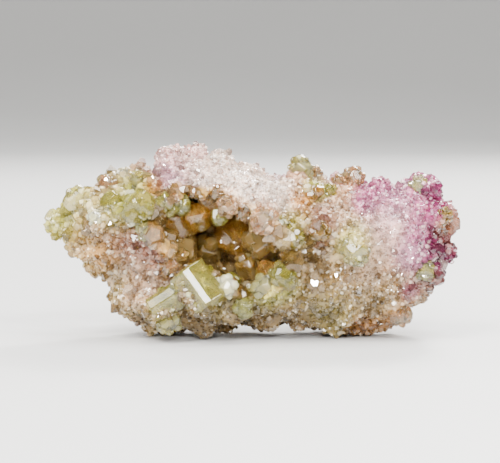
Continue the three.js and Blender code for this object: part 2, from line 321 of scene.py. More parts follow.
def clear_stone(name, inside, density, pale, deep, clarity=USUAL_CLARITY):
    """See-through crystal: plain transmission with absorption inside, and a haze that carries its colour."""
    material, tree = new_material(name)
    place = tree.node("ShaderNodeTexCoord", output=3)
    cloud = tree.node("ShaderNodeTexNoise", Vector=place, Scale=620.0, Detail=2.0)
    tint = tree.node(
        "ShaderNodeMix",
        {"data_type": "RGBA"},
        output=2,
        Factor=(cloud - 0.35) * 3.0,
        A=(*pale, 1),
        B=(*deep, 1),
    )
    shader = tree.node(
        "ShaderNodeBsdfPrincipled",
        Base_Color=tint,
        Roughness=0.015 + (cloud ** 4) * 0.2,
        IOR=STONE_IOR,
        Transmission_Weight=clarity,
        Subsurface_Weight=1.0,
        Subsurface_Radius=(0.9, 0.9, 0.9),
        Subsurface_Scale=STONE_HAZE_DEPTH,
    )
    absorption = tree.node("ShaderNodeVolumeAbsorption", Color=(*inside, 1), Density=density)
    tree.node("ShaderNodeOutputMaterial", Surface=shader, Volume=absorption)
    return material


fine_skin = crystal_skin("fine_crystals", transmission=0.4, roughness=0.05, subsurface=0.3)
medium_skin = crystal_skin("medium_crystals", transmission=0.7, roughness=0.04)
body_skin = crystal_skin("crystal_body", transmission=0.0, roughness=0.22, subsurface=0.45)
hollow_skin = crystal_skin("hollow_crystals", transmission=0.8, roughness=0.04)

# %% The tints of the clear stones
# the colour that light keeps inside, how fast it gets it, the two tints of the skin, and the clarity
# where it isn't the usual one
STONE_TINTS = {
    "green": (paint(234, 222, 88), 260.0, paint(244, 238, 140), paint(206, 196, 76), 0.9),
    "yellow": (paint(238, 224, 108), 240.0, paint(246, 238, 176), paint(222, 208, 118)),
    "pale": (paint(246, 232, 160), 150.0, paint(252, 246, 204), paint(240, 228, 162), 0.6),
    "clear": (paint(240, 216, 142), 180.0, paint(248, 234, 194), paint(222, 200, 142), 0.7),
    "pink": (paint(246, 186, 176), 180.0, paint(250, 216, 206), paint(230, 170, 170), 0.7),
    "magenta": (paint(206, 96, 146), 260.0, paint(214, 128, 168), paint(160, 64, 110)),
    "peach": (paint(240, 184, 118), 230.0, paint(244, 206, 158), paint(220, 164, 108)),
    "olive": (paint(216, 200, 84), 240.0, paint(222, 208, 112), paint(186, 170, 66), 0.84),
    "amber": (paint(230, 170, 68), 210.0, paint(218, 168, 78), paint(182, 132, 54), 0.86),
    "brown": (paint(222, 182, 100), 160.0, paint(216, 182, 112), paint(184, 146, 76), 0.82),
}
STONES = {name: clear_stone(f"{name}_stone", *tints) for name, tints in STONE_TINTS.items()}
print("stones:", ", ".join(STONES))

# %% [markdown]
# ## The colour map, as named places
# The colour runs from yellow-green at the left through amber at the hollow to magenta at the right end. It
# is written as a short list of places with a colour and a reach. Each point of the surface takes the mean
# of the places near it, so the changes are as soft as in the stone.

# %% Places of colour
COLOURS = {
    "sugar white": paint(240, 224, 212),
    "sugar pink": paint(226, 194, 188),
    "lilac": paint(214, 176, 192),
    "rose": paint(204, 136, 168),
    "magenta": paint(186, 92, 146),
    "deep magenta": paint(146, 58, 106),
    "orchid": paint(210, 160, 182),
    "peach": paint(228, 188, 150),
    "beige": paint(188, 162, 120),
    "pink brown": paint(176, 134, 120),
    "pink beige": paint(208, 180, 154),
    "olive beige": paint(178, 164, 112),
    "yellow green": paint(212, 208, 124),
    "pale green": paint(224, 218, 146),
    "gold": paint(196, 154, 80),
    "leaf": paint(182, 172, 84),
    "umber": paint(166, 144, 102),
    "honey": paint(214, 180, 128),
    "brown": paint(178, 140, 72),
    "orange": paint(204, 152, 84),
}
# colour, X and Z in the front view, reach in millimetres
# the places near the table take umber and olive beige, so the lowest band is darker: partly the stone's own
# browner foot, partly painted shade, as the light falls from above
FRONT_PLACES = [
    ("yellow green", -20.6, 12.6, 1.8),
    ("pale green", -19.3, 15.2, 1.8),
    ("pink beige", -17.6, 13.2, 1.7),
    ("honey", -19.0, 10.4, 2.0),
    ("honey", -16.2, 8.8, 2.0),
    ("pink beige", -16.2, 16.8, 1.4),
    ("yellow green", -15.0, 14.6, 2.2),
    ("yellow green", -12.2, 15.6, 2.2),
    ("orange", -10.6, 16.6, 0.9),
    ("pink brown", -13.6, 11.4, 2.2),
    ("pink brown", -10.6, 10.6, 1.8),
    ("pink beige", -13.2, 7.6, 2.4),
    ("olive beige", -15.2, 6.4, 1.4),
    ("pink beige", -11.6, 5.0, 2.0),
    ("olive beige", -11.4, 2.2, 2.0),
    ("umber", -7.0, 1.6, 2.4),
    ("sugar pink", -8.0, 19.6, 2.2),
    ("lilac", -9.2, 17.8, 1.3),
    ("sugar white", -4.6, 18.6, 3.0),
    ("sugar white", 0.5, 17.2, 2.8),
    ("sugar white", 3.0, 16.6, 2.2),
    ("peach", 4.8, 18.6, 1.2),
    ("peach", -3.0, 15.2, 1.2),
    ("peach", 1.2, 13.6, 1.6),
    ("orange", 5.4, 15.6, 1.0),
    ("leaf", 4.8, 12.6, 1.6),
    ("yellow green", 7.0, 16.8, 1.0),
    ("umber", -2.0, 2.6, 2.6),
    ("yellow green", 1.8, 6.6, 1.9),
    ("olive beige", -3.4, 4.4, 1.6),
    ("pink brown", 7.4, 12.6, 2.0),
    ("umber", 6.6, 9.4, 1.8),
    ("pale green", 10.8, 11.0, 1.6),
    ("pink beige", 9.2, 14.6, 1.6),
    ("rose", 12.4, 15.8, 1.1),
    ("peach", 10.0, 17.0, 1.0),
    ("beige", 8.8, 7.0, 2.2),
    ("olive beige", 8.6, 3.8, 2.2),
    ("pink beige", 13.0, 9.0, 2.8),
    ("umber", 12.8, 4.6, 2.2),
    ("sugar pink", 15.0, 12.8, 2.4),
    ("orchid", 15.6, 15.4, 1.6),
    ("rose", 14.2, 16.6, 0.8),
    ("rose", 18.4, 15.8, 1.0),
    ("magenta", 19.8, 14.6, 1.3),
    ("rose", 18.0, 11.4, 0.9),
    ("rose", 18.4, 12.8, 1.3),
    ("deep magenta", 20.6, 9.4, 1.6),
    ("deep magenta", 21.6, 8.4, 1.2),
    ("pink brown", 20.2, 6.4, 1.0),
    ("deep magenta", 19.8, 10.6, 0.9),
    ("gold", 21.8, 12.4, 1.2),
    ("pink brown", 21.8, 10.8, 1.0),
    ("orchid", 17.6, 9.4, 1.6),
    ("beige", 16.6, 5.2, 2.0),
    ("rose", 17.4, 5.4, 0.8),
    ("orange", 16.6, 1.8, 1.3),
    ("orange", 12.6, 0.9, 1.3),
    ("umber", 4.0, 2.0, 2.2),
]
# the same for the back, which the front view doesn't show: the colours of the front, run on round the ends
BACK_PLACES = [
    ("pale green", -18.0, 13.0, 4.0),
    ("pink beige", -12.0, 8.0, 5.0),
    ("sugar pink", -7.0, 17.0, 5.0),
    ("beige", -3.0, 6.0, 5.0),
    ("sugar white", 2.0, 15.0, 5.0),
    ("pale green", 0.5, 9.0, 1.8),
    ("lilac", 6.0, 18.0, 2.6),
    ("peach", -4.0, 12.0, 2.4),
    ("pink beige", 8.0, 8.0, 5.0),
    ("orchid", 14.0, 14.0, 4.5),
    ("magenta", 19.5, 11.0, 3.0),
    ("beige", 14.0, 3.0, 4.0),
]

# %% The colour of every point
DEPTH_OF_COLOUR = 1.6  # over 1 the colours are deeper than they look on screen, as gloss whitens them


def blend_of_places(points, places):
    """The mean colour of the places near each point, and beige far from all of them."""
    across, up = front_view(points)
    total = np.full(len(points), 1e-4)
    colour = total[:, None] * np.array(COLOURS["beige"])
    for name, x, z, reach in places:
        weight = nearness(across, up, x, z, reach) / reach
        total += weight
        colour += weight[:, None] * np.array(COLOURS[name])
    return colour / total[:, None]


HOLLOW_AT = np.array((-3.558, -8.794, 11.2)) * MM
HOLLOW_REACH = np.array((7.7, 8.6, 5.2)) * MM
HOLLOW_FALL = 0.28  # how far it falls to the right, for each millimetre
HOLLOW_RIM = 1.12  # where its wall ends, as a share of its reach
HOLLOW_RIM_BLEND = 0.1
HOLLOW_FRONT = -10.2  # where its amber begins, in millimetres of depth
HOLLOW_FRONT_BLEND = 1.4
# deeper in the hollow its wall turns from gold to a darker brown: partly the browner crystals there, partly
# painted shade of the recess
HOLLOW_SHADED_BROWN_FROM = -9.6
HOLLOW_SHADED_BROWN_DEPTH = 6  # millimetres over which amber turns to brown
MIDDLE_BLEND = 8  # millimetres over which the front's colours turn to the back's


def in_hollow(points):
    """From 1 on the wall of the hollow to 0 outside it."""
    away = (points - HOLLOW_AT) / HOLLOW_REACH
    away[:, 2] += HOLLOW_FALL * (points[:, 0] - HOLLOW_AT[0]) / HOLLOW_REACH[2]
    inside = np.clip((HOLLOW_RIM - np.linalg.norm(away, axis=1)) / HOLLOW_RIM_BLEND, 0, 1)
    return inside * np.clip((points[:, 1] / MM - HOLLOW_FRONT) / HOLLOW_FRONT_BLEND, 0, 1)


def tint_of(points):
    """The colours of the front and back, blended in the middle, and the hollow's, darker deeper in as painted
    shade.
    """
    back = np.clip(points[:, 1] / MM / MIDDLE_BLEND + 0.5, 0, 1)[:, None]
    outside = blend_of_places(points, FRONT_PLACES) * (1 - back) + blend_of_places(points, BACK_PLACES) * back
    outside = outside**DEPTH_OF_COLOUR
    # painted shade: the hollow's wall grows darker the deeper in it lies
    depth = np.clip((points[:, 1] / MM - HOLLOW_SHADED_BROWN_FROM) / HOLLOW_SHADED_BROWN_DEPTH, 0, 1)[:, None]
    wall = np.array(COLOURS["gold"]) * (1 - depth) + np.array(COLOURS["brown"]) * depth
    hollow = in_hollow(points)[:, None]
    return outside * (1 - hollow) + wall * hollow


# %% [markdown]
# ## The large clear crystals
# A vesuvianite crystal is a stubby four-sided or eight-sided prism with a cut-off pyramid. A cone operator
# makes the prism, extrusions make the pyramid, and a fine bevel gives the edges their bright line. No such
# crystal stands alone, so smaller ones are grown round it and into it. The few that show a clean side stay
# whole, with a crust of tiny ones on their lower flank.


# %% One crystal
NARROWING = {8: 0.24, 12: 0.07}  # radians that the corners of a many-sided crystal close up in pairs
SHOULDER_HEIGHT = 0.45  # share of the pyramid's height where a steeper slope meets it
EDGE_WIDTH = 0.05  # width of the bevel, as a share of the half width
FINE_EDGE_FROM = 0.7 * MM  # crystals wider than this on each side get a rounder bevel


def axis_turn(along):
    """The turn that lays a crystal's long axis along a direction."""
    return Vector((0, 0, 1)).rotation_difference(Vector(along).normalized())


def whole_shell(verts):
    """All the vertices that are connected to these."""
    found = set(verts)
    edge_of_search = list(verts)
    while edge_of_search:
        vert = edge_of_search.pop()
        for edge in vert.link_edges:
            other = edge.other_vert(vert)
            if other not in found:
                found.add(other)
                edge_of_search.append(other)
    return list(found)


def grow_crystal(
    bm, at, along, spin, half, long=1.0, sides=8, cap=0.55, prism=0.45, tip=1.0, shoulder=None
):
    """Adds one crystal, its long axis along a direction. prism is the straight share of its length, tip
    lengthens its far end, and shoulder is the width where a steeper slope meets the pyramid."""
    reach = half * long
    made = bmesh.ops.create_cone(
        bm, cap_ends=True, segments=sides, radius1=half, radius2=half, depth=2 * reach * prism
    )
    verts = made["verts"]
    if sides in NARROWING:
        for vert in verts:
            corner = round(math.atan2(vert.co.y, vert.co.x) / (math.tau / sides))
            turn = NARROWING[sides] if corner % 2 == 0 else -NARROWING[sides]
            bmesh.ops.rotate(bm, verts=[vert], matrix=Matrix.Rotation(turn, 3, "Z"))
    slopes = [(cap, 1.0)]
    if shoulder is not None:
        slopes = [(shoulder, SHOULDER_HEIGHT), (cap / shoulder, 1 - SHOULDER_HEIGHT)]
    faces = {face for vert in verts for face in vert.link_faces}
    for end in (1, -1):
        cover = next(f for f in faces if f.is_valid and f.normal.z * end > 0.9)
        point = (1 - prism) * reach * (tip if end > 0 else 2 - tip)
        for width, height in slopes:
            raised = bmesh.ops.extrude_face_region(bm, geom=[cover])["geom"]
            tip_verts = [item for item in raised if isinstance(item, bmesh.types.BMVert)]
            bmesh.ops.delete(bm, geom=[cover], context="FACES_ONLY")
            bmesh.ops.scale(bm, verts=tip_verts, vec=(width, width, 1))
            bmesh.ops.translate(bm, verts=tip_verts, vec=(0, 0, end * point * height))
            verts += tip_verts
            cover = next(item for item in raised if isinstance(item, bmesh.types.BMFace))
    edges = list({edge for vert in verts for edge in vert.link_edges})
    rounded = bmesh.ops.bevel(
        bm,
        geom=edges,
        offset=EDGE_WIDTH * half,
        segments=2 if half > FINE_EDGE_FROM else 1,
        profile=0.5,
        material=-1,
        affect="EDGES",
    )
    verts = whole_shell({vert for face in rounded["faces"] for vert in face.verts})
    place = Matrix.Translation(at) @ axis_turn(along).to_matrix().to_4x4()
    bmesh.ops.transform(bm, matrix=place @ Matrix.Rotation(math.radians(spin), 4, "Z"), verts=verts)


def finish_piece(bm, name, materials):
    """Turns a bmesh into a piece of the cluster, with flat faces that mirror the light."""
    bmesh.ops.recalc_face_normals(bm, faces=bm.faces)
    mesh = bpy.data.meshes.new(name)
    bm.to_mesh(mesh)
    bm.free()
    for material in materials:
        mesh.materials.append(material)
    mesh.polygons.foreach_set("use_smooth", [False] * len(mesh.polygons))
    piece = bpy.data.objects.new(name, mesh)
    bpy.context.scene.collection.objects.link(piece)
    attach(piece, "root")
    print(name, "has", len(mesh.polygons), "faces")
    return piece


# %% The crystals of the front, by their places in the front view
HERO_LEAN = (0.58, -0.15, -0.80)
END_LEAN = (0.83, -0.08, 0.55)
# name, stone, X, Z, half width, length over width, direction, spin
LARGE_CRYSTALS = [
    ("lip_left_of_middle", "green", -5.85, 6.25, 2.3, 1.15, HERO_LEAN, 22.5),
    ("lip_left_end", "green", -9.3, 4.5, 1.6, 1.3, END_LEAN, 6),
    ("lip_left_below", "yellow", -9.3, 2.5, 1.4, 1.0, None, 71),
    ("lip_colourless", "pale", -2.8, 6.4, 1.25, 1.0, None, 10),
    ("lip_pale_face", "yellow", 1.2, 6.2, 1.4, 1.0, (0.7, -0.5, 0.4), 20),
    ("lip_green", "green", 3.3, 7.4, 1.5, 1.0, None, 50),
    ("lip_low", "green", -0.9, 4.0, 1.1, 1.0, None, 30),
    ("pillar", "olive", 4.3, 11.8, 1.35, 1.35, (0.15, -0.5, -0.8), 15),
    ("shoulder_tablet", "yellow", 11.2, 10.2, 1.5, 0.8, (-0.2, -0.85, 0.5), 40),
    ("groove_clear", "brown", 7.2, 12.2, 1.3, 1.0, None, 5),
    ("groove_low", "clear", 6.4, 9.8, 0.9, 1.0, None, 33),
    ("groove_amber", "amber", 6.7, 15.8, 1.3, 1.0, None, 70),
    ("right_green_bead", "yellow", 19.2, 7.7, 1.1, 1.0, None, 12),
    ("right_top_pale", "yellow", 18.4, 17.0, 1.1, 1.0, None, 33),
    ("right_edge_clear", "brown", 21.0, 13.8, 1.0, 1.0, None, 61),
    ("right_edge_magenta", "magenta", 20.9, 9.5, 1.2, 1.0, None, 24),
    ("right_foot_edge", "peach", 16.3, 2.6, 1.3, 1.0, None, 48),
    ("left_top_green", "yellow", -19.3, 15.1, 1.5, 1.0, (-0.45, -0.45, 0.75), 10),
    ("left_tip", "pale", -21.3, 12.2, 1.0, 1.0, None, 37),
    ("left_ridge_peach", "peach", -16.0, 16.8, 1.15, 1.0, None, 80),
    ("left_ridge_bead", "clear", -14.3, 18.0, 0.9, 1.0, None, 15),
    ("left_ridge_yellow", "yellow", -12.4, 17.5, 1.1, 1.0, None, 55),
    ("left_slope_pale", "pale", -17.2, 13.6, 0.9, 1.0, None, 29),
    ("left_slope_green", "green", -15.2, 14.9, 1.4, 1.15, (-0.25, -0.5, 0.75), 66),
    ("left_slope_large", "green", -12.2, 14.8, 1.8, 1.1, (0.5, -0.6, 0.6), 18),
    ("left_of_hollow", "yellow", -11.4, 12.3, 1.1, 1.0, None, 42),
    ("hollow_left_corner", "green", -8.9, 15.3, 1.3, 1.0, None, 9),
    ("brow_rim_corner", "yellow", -6.5, 15.4, 1.2, 1.0, None, 52),
    ("brow_rim_1", "peach", -4.7, 15.6, 1.1, 1.0, None, 11),
    ("brow_rim_gap_left", "peach", -6.2, 16.6, 0.85, 1.0, None, 35),
    ("brow_rim_gap_right", "peach", -3.7, 16.6, 0.8, 1.0, None, 71),
    ("brow_rim_2", "peach", -2.7, 15.1, 1.2, 1.0, None, 63),
    ("brow_rim_3", "peach", -0.6, 14.4, 1.2, 1.0, None, 27),
    ("brow_rim_4", "peach", 1.3, 13.5, 1.4, 1.0, None, 47),
    ("brow_rim_5", "olive", 3.0, 13.0, 1.0, 1.0, None, 84),
    ("crest_bead", "yellow", 5.4, 18.8, 1.35, 1.0, None, 75),
    ("crest_small", "peach", 7.0, 17.9, 0.95, 1.0, None, 3),
    ("saddle_green", "green", 8.6, 16.4, 0.9, 1.0, None, 44),
    ("saddle_peach", "peach", 9.8, 17.2, 0.95, 1.0, None, 31),
    ("saddle_large", "peach", 11.2, 17.9, 1.15, 1.0, None, 58),
]
# the same for the back
BACK_CRYSTALS = [
    ("back_left_end", "green", -18.4, 12.4, 1.7, 1.0, None, 20),
    ("back_left_high", "yellow", -15.6, 15.2, 1.4, 1.0, None, 44),
    ("back_left_low", "clear", -13.4, 8.2, 1.5, 1.0, None, 71),
    ("back_ridge_pink", "pink", -9.6, 16.4, 1.2, 1.0, None, 12),
    ("back_ridge_peach", "peach", -8.2, 12.2, 1.6, 1.0, None, 35),
    ("back_middle_low", "yellow", -4.6, 5.6, 1.6, 1.1, None, 58),
    ("back_middle", "green", -1.6, 10.6, 1.9, 1.0, None, 7),
    ("back_middle_small", "clear", 0.8, 13.6, 1.0, 1.0, None, 81),
    ("back_right_amber", "amber", 3.6, 6.0, 1.4, 1.0, None, 29),
    ("back_right_clear", "clear", 6.8, 12.0, 1.5, 1.0, None, 66),
    ("back_right_pink", "pink", 12.4, 14.2, 1.5, 1.0, None, 50),
    ("back_right_low", "peach", 11.6, 5.8, 1.4, 1.0, None, 15),
    ("back_right_end", "pink", 17.6, 11.2, 1.7, 1.0, None, 38),
]

# %% The clean sides of a few crystals
HERO_FACE = Vector((-0.03, -0.985, 0.16))  # where its bright narrow side looks
END_FACE = Vector((-0.371, -0.825, 0.433))
# for each: how far its prism goes, how wide its shoulder and cap are, and where its narrow side looks
SHOWN_SIDES = {
    "lip_left_of_middle": {
        "sides": 12, "prism": 0.84, "cap": 0.5, "tip": 1.3, "shoulder": 0.84, "towards": HERO_FACE
    },
    "lip_left_end": {
        "sides": 12, "prism": 0.80, "cap": 0.5, "shoulder": 0.86, "towards": END_FACE, "turn": 30
    },
    "shoulder_tablet": {"sides": 8, "prism": 0.6, "cap": 0.55, "towards": Vector((0, 0, -1))},
    "left_top_green": {
        "sides": 6, "prism": 0.6, "cap": 0.45, "shoulder": 0.8, "towards": Vector((0, -1, 0.4))
    },
    "left_slope_green": {
        "sides": 6, "prism": 0.6, "cap": 0.5, "shoulder": 0.8, "towards": Vector((0.3, -1, 0))
    },
    "left_slope_large": {
        "sides": 8, "prism": 0.65, "cap": 0.5, "shoulder": 0.84, "towards": Vector((0, -1, 0.6))
    },
}
# share of its half width that a crystal's middle lies under the surface
USUAL_DEPTH = 0.95
HOW_DEEP = {"right_green_bead": 0.2}

# %% Notes on every crystal before any is grown
INSIDE_COUNT = 3  # smaller crystals inside a large clean one
FLANK_COUNT = 22  # tiny ones on its lower flank
BLOCK_COUNT = 5  # blocks that build up any other large one
ROUND_COUNT = 7  # small ones round each
seeded = np.random.default_rng(17)
sockets_in_body = []
by_stone = {}


def chance(size):
    return Vector(seeded.uniform(-size, size, 3))


def note_crystal(stone, centre, along, spin, half, long, **form):
    by_stone.setdefault(stone, []).append((centre, along, spin, half, long, form))


def spin_facing(along, towards, sides):
    """The spin in degrees that turns a narrow side of a many-sided crystal to face a direction."""
    local = axis_turn(along).inverted() @ Vector(towards)
    return math.degrees(math.atan2(local.y, local.x)) - 180 / sides


def ring_place(number, count, side, most, width):
    """A place on an uneven ring of a width, up to most of it towards a side."""
    angle = math.tau * (number + seeded.uniform(0, 0.7)) / count
    return Vector((math.cos(angle), side * seeded.uniform(0, most), math.sin(angle))) * width


def grow_on_flank(side, centre, along, half):
    """Notes tiny crystals on the lower flank of a large one, which is never as clean as its bright face."""
    axis = along.normalized()
    for number in range(FLANK_COUNT):
        downward = Vector((seeded.uniform(-0.5, 0.7), side * seeded.uniform(0.1, 1.0), -1.0))
        across = (downward - downward.dot(axis) * axis).normalized()
        foot = centre + (0.9 * across + seeded.uniform(-0.75, 0.75) * axis) * half * MM
        size = half * seeded.uniform(0.05, 0.17) * MM
        stone = ("pale", "yellow", "green")[number % 3]
        note_crystal(stone, foot, across + chance(0.6), 50 * number, size, 1.2, prism=0.5, cap=0.4)


def note_clean(side, name, stone, centre, along, half, long):
    """Notes a large crystal with a clean side, with crystals inside it and on its flank."""
    form = dict(SHOWN_SIDES[name])
    spin = spin_facing(along, form.pop("towards"), form["sides"]) + form.pop("turn", 0)
    note_crystal(stone, centre, along, spin, half * MM, long, **form)
    for number in range(INSIDE_COUNT):
        inner = centre + chance(0.3) * half * MM
        lean = along + chance(0.4)
        note_crystal(stone, inner, lean, spin + 40 * number, 0.5 * half * MM, 1.0, prism=0.6)
    grow_on_flank(side, centre, along, half)


def note_blocky(side, stone, centre, along, spin, half, long):
    """Notes a large crystal that is built up of blocks."""
    block = {"prism": seeded.uniform(0.5, 0.8), "cap": seeded.uniform(0.45, 0.75)}
    note_crystal(stone, centre, along, spin, half * 0.78 * MM, long * seeded.uniform(0.9, 1.2), **block)
    for number in range(BLOCK_COUNT):
        aside = ring_place(number, BLOCK_COUNT, side, 0.5, 0.56 * half * MM)
        size = half * seeded.uniform(0.36, 0.58) * MM
        block = {"prism": seeded.uniform(0.45, 0.7), "cap": seeded.uniform(0.35, 0.7)}
        note_crystal(stone, centre + aside, along + chance(0.5), spin + 20 * number, size, 1.1, **block)


def place_crystal(side, name, stone, x, z, half, long, lean, spin):
    """Notes one large crystal and the smaller ones that are grown round it."""
    hit, normal = surface_at(x, z, side)
    centre = hit + Vector((0, -side * HOW_DEEP.get(name, USUAL_DEPTH) * half * MM, 0))
    along = Vector(lean) if lean else Vector((0, side * 0.5, 0.3)) + normal + chance(0.75)
    sockets_in_body.append((centre, half * MM, side))
    if name in SHOWN_SIDES:
        note_clean(side, name, stone, centre, along, half, long)
    else:
        note_blocky(side, stone, centre, along, spin, half, long)
    for number in range(ROUND_COUNT):
        aside = ring_place(number, ROUND_COUNT, -side, 0.4, 0.84 * half * MM)
        size = half * seeded.uniform(0.2, 0.42) * MM
        lean = along + chance(0.8)
        note_crystal(stone, centre + aside, lean, 70 * number, size, 1.15, prism=0.5, cap=0.45)


for row in LARGE_CRYSTALS:
    place_crystal(-1, *row)
for row in BACK_CRYSTALS:
    place_crystal(1, *row)
print(sum(len(crystals) for crystals in by_stone.values()), "large crystals, with those grown into them")


# %% Grow them, one piece for each stone
EIGHT_SIDED_FROM = 1.2 * MM


def add_single(bm, material_index, *crystal, **form):
    """Grows a crystal by itself and adds it to a piece."""
    single = bmesh.new()
    grow_crystal(single, *crystal, **form)
    for face in single.faces:
        face.material_index = material_index
    scratch = bpy.data.meshes.new("scratch")
    single.to_mesh(scratch)
    single.free()
    bm.from_mesh(scratch)
    bpy.data.meshes.remove(scratch)


for stone, crystals in by_stone.items():
    bm = bmesh.new()
    for centre, along, spin, half, long, form in crystals:
        form.setdefault("sides", 8 if half > EIGHT_SIDED_FROM else 6)
        add_single(bm, 0, centre, along, spin, half, long, **form)
    piece = finish_piece(bm, f"large_{stone}_crystals", [STONES[stone]])

# %% [markdown]
# ## The bright faces
# The lip's two largest crystals each show one narrow side as a pale strip, because it mirrors a lamp. The
# lamp's place follows from the face: the line of sight, mirrored in the face, points at it.

# %% The lamps that the faces mirror
sight = (camera.location - AIM).normalized()
LAMP_DISTANCE = 0.5


def mirrored_lamp(name, lean, face, size, power):
    """A lamp where the line of sight goes after it meets a crystal's side."""
    axis = Vector(lean).normalized()
    side_normal = (face - face.dot(axis) * axis).normalized()
    place = AIM + LAMP_DISTANCE * (2 * side_normal.dot(sight) * side_normal - sight)
    soft_light(name, place, size, power, (1.0, 0.99, 0.97), target=AIM)
    print(name, "is at", tuple(round(n, 2) for n in place))


mirrored_lamp("front lamp", HERO_LEAN, HERO_FACE, 0.13, 2.1)
mirrored_lamp("left lamp", END_LEAN, END_FACE, 0.14, 0.6)

# %% [markdown]
# ## The crystals that line the hollow
# Large glassy crystals, amber to brown, crowd the hollow's wall and point into it. The named ones are
# where the front view shows them.

# %% Crystals in the hollow
# stone, X, Y and Z from the modelling centre, half width, direction
HOLLOW_CRYSTALS = [
    ("amber", (-8.4, -5.4, 13.6), 2.9, (0.5, -0.8, -0.3)),
    ("amber", (-6.0, -7.6, 13.7), 1.7, (0.1, -0.8, -0.6)),
    ("brown", (-8.0, -5.6, 9.9), 2.3, (0.3, -0.9, 0.2)),
    ("amber", (-4.2, -3.8, 14.6), 2.2, (0.0, -0.8, -0.6)),
    ("brown", (-4.8, -1.6, 9.8), 2.0, (0.1, -0.9, 0.3)),
    ("amber", (-1.8, -3.8, 11.3), 2.6, (0.03, -0.93, 0.36)),
    ("brown", (1.6, -5.6, 11.0), 2.3, (-0.45, -0.85, 0.1)),
    ("brown", (-0.4, -5.0, 8.2), 1.6, (-0.2, -0.6, 0.8)),
    ("peach", (-9.1, -7.6, 8.2), 1.4, (0.1, -0.85, 0.5)),
    ("amber", (-6.2, -5.8, 7.2), 1.7, (0.1, -0.7, 0.7)),
    ("green", (-2.2, -6.0, 6.4), 1.2, (-0.2, -0.6, 0.8)),
    ("amber", (2.0, -7.4, 7.6), 1.5, (-0.5, -0.5, 0.7)),
    ("green", (-7.6, -8.2, 15.1), 1.2, (0.1, -0.5, -0.85)),
    ("green", (-3.6, -8.2, 13.8), 1.0, (0.0, -0.5, -0.85)),
]
bm = bmesh.new()
hollow_stones = sorted({row[0] for row in HOLLOW_CRYSTALS})
for stone, at, half, lean in HOLLOW_CRYSTALS:
    centre = Vector(at) * MM + MODEL_SHIFT
    number = hollow_stones.index(stone)
    spin = seeded.uniform(0, 90)
    add_single(bm, number, centre, lean, spin, half * 0.92 * MM, 1.0, sides=8, cap=0.6, prism=0.6)
    for _ in range(BLOCK_COUNT):
        aside = chance(1.0).normalized() * 0.62 * half * MM
        aside.y = -abs(aside.y)
        size = half * seeded.uniform(0.3, 0.55) * MM
        near_lean = Vector(lean) + chance(0.5)
        add_single(bm, number, centre + aside, near_lean, spin, size, 1.1, sides=6, prism=0.6)
hollow_piece = finish_piece(bm, "hollow_large_crystals", [STONES[stone] for stone in hollow_stones])
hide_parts("vug_crust")

# %% [markdown]
# ## The body under the crystals
# The body is a copy of the solid, rebuilt with even small faces and roughened. Where a large clear crystal
# grows, the body is sunk, so that the clear stone has depth behind it and isn't filled with body. The rest
# is drawn in by the height of the fine crystals, a little more or less where the outline asks for it.

# %% Rebuild the body
GRAIN = 0.32  # size of the body's faces, in millimetres
BODY_SINK = 0.5  # how far the body is drawn in, so that the crystals' tops come level with the solid


def rebuilt_body():
    """The body as an object with small even faces."""
    mesh = bpy.data.meshes.new("crystal_body")
    mass_bm.to_mesh(mesh)
    body = bpy.data.objects.new("crystal_body", mesh)
    bpy.context.scene.collection.objects.link(body)
    remesh = body.modifiers.new("even_faces", "REMESH")
    remesh.mode = "VOXEL"
    remesh.voxel_size = GRAIN * MM
    depsgraph = bpy.context.evaluated_depsgraph_get()
    even = bpy.data.meshes.new_from_object(body.evaluated_get(depsgraph))
    body.modifiers.clear()
    body.data = even
    return body


def triples(items, name):
    """One row of three numbers for each item of a mesh."""
    numbers = np.empty(len(items) * 3)
    items.foreach_get(name, numbers)
    return numbers.reshape(-1, 3)


body = rebuilt_body()
points = triples(body.data.vertices, "co")
normals = triples(body.data.vertex_normals, "vector")
count = len(points)
print("the body has", count, "points")

# %% Sink it behind the large crystals, and roughen it
# smooth places, where the stone is bare and rounded: X, Z, reach
SMOOTH_PLACES = [
    (-17.5, 9.3, 1.6),
    (-12.8, 2.4, 1.8),
    (-9.5, 1.0, 1.6),
    (1.2, 13.6, 0.9),
    (15.5, 1.6, 1.8),
    (3.0, 1.6, 1.6),
    (-15.4, 6.4, 1.8),
    (-12.0, 4.8, 2.2),
    (-6.6, 1.4, 1.8),
    (-1.8, 1.6, 2.2),
    (6.4, 1.8, 2.0),
    (18.2, 4.0, 1.4),
]
# where the body is drawn in more or less than elsewhere: X, Z, reach, how much more
SINK_PLACES = [
    (-9.2, 20.4, 2.0, -1.0),
    (-22.0, 12.4, 2.2, -0.9),
    (-17.4, 7.6, 1.8, -1.0),
    (-15.2, 5.0, 2.0, -0.8),
    (-13.0, 2.8, 1.8, -0.8),
    (16.2, 18.6, 2.2, 1.0),
    (17.4, 19.2, 1.0, 0.6),
    (20.2, 16.4, 1.6, -1.0),
    (21.8, 11.2, 1.6, -0.8),
    (20.6, 7.4, 1.6, -0.7),
    (18.4, 4.4, 1.8, -1.3),
]
# heaps of pebbles that roughen it: their size and height in millimetres
PEBBLES = {1.5: 0.16, 0.7: 0.09}
PEBBLES_WORN = 0.7  # share of their height that a smooth place lacks
SOCKET_WIDTH = 1.02  # the hole behind a large crystal, in its half widths
SOCKET_BLEND = 0.18
SOCKET_DEPTH = 1.6

across, up = front_view(points)
smooth = np.zeros(count)
for x, z, reach in SMOOTH_PLACES:
    smooth = np.maximum(smooth, nearness(across, up, x, z, reach))
for centre, half, side in sockets_in_body:
    away = points - np.array(centre)
    distance = np.linalg.norm(away, axis=1)
    near = np.clip((SOCKET_WIDTH * half - distance) / (SOCKET_BLEND * half), 0, 1)
    outward = np.array((0.0, side, 0.15))
    height = away @ outward
    points += (near * np.clip(0.05 * half - height, -SOCKET_DEPTH * half, 0))[:, None] * outward


def pebbles(point, size):
    """Height of a heap of pebbles of one size, from 0 between them to 1 on top."""
    distances, _ = noise.voronoi(Vector(point) / (size * MM))
    return min(1.0, distances[1] - distances[0])


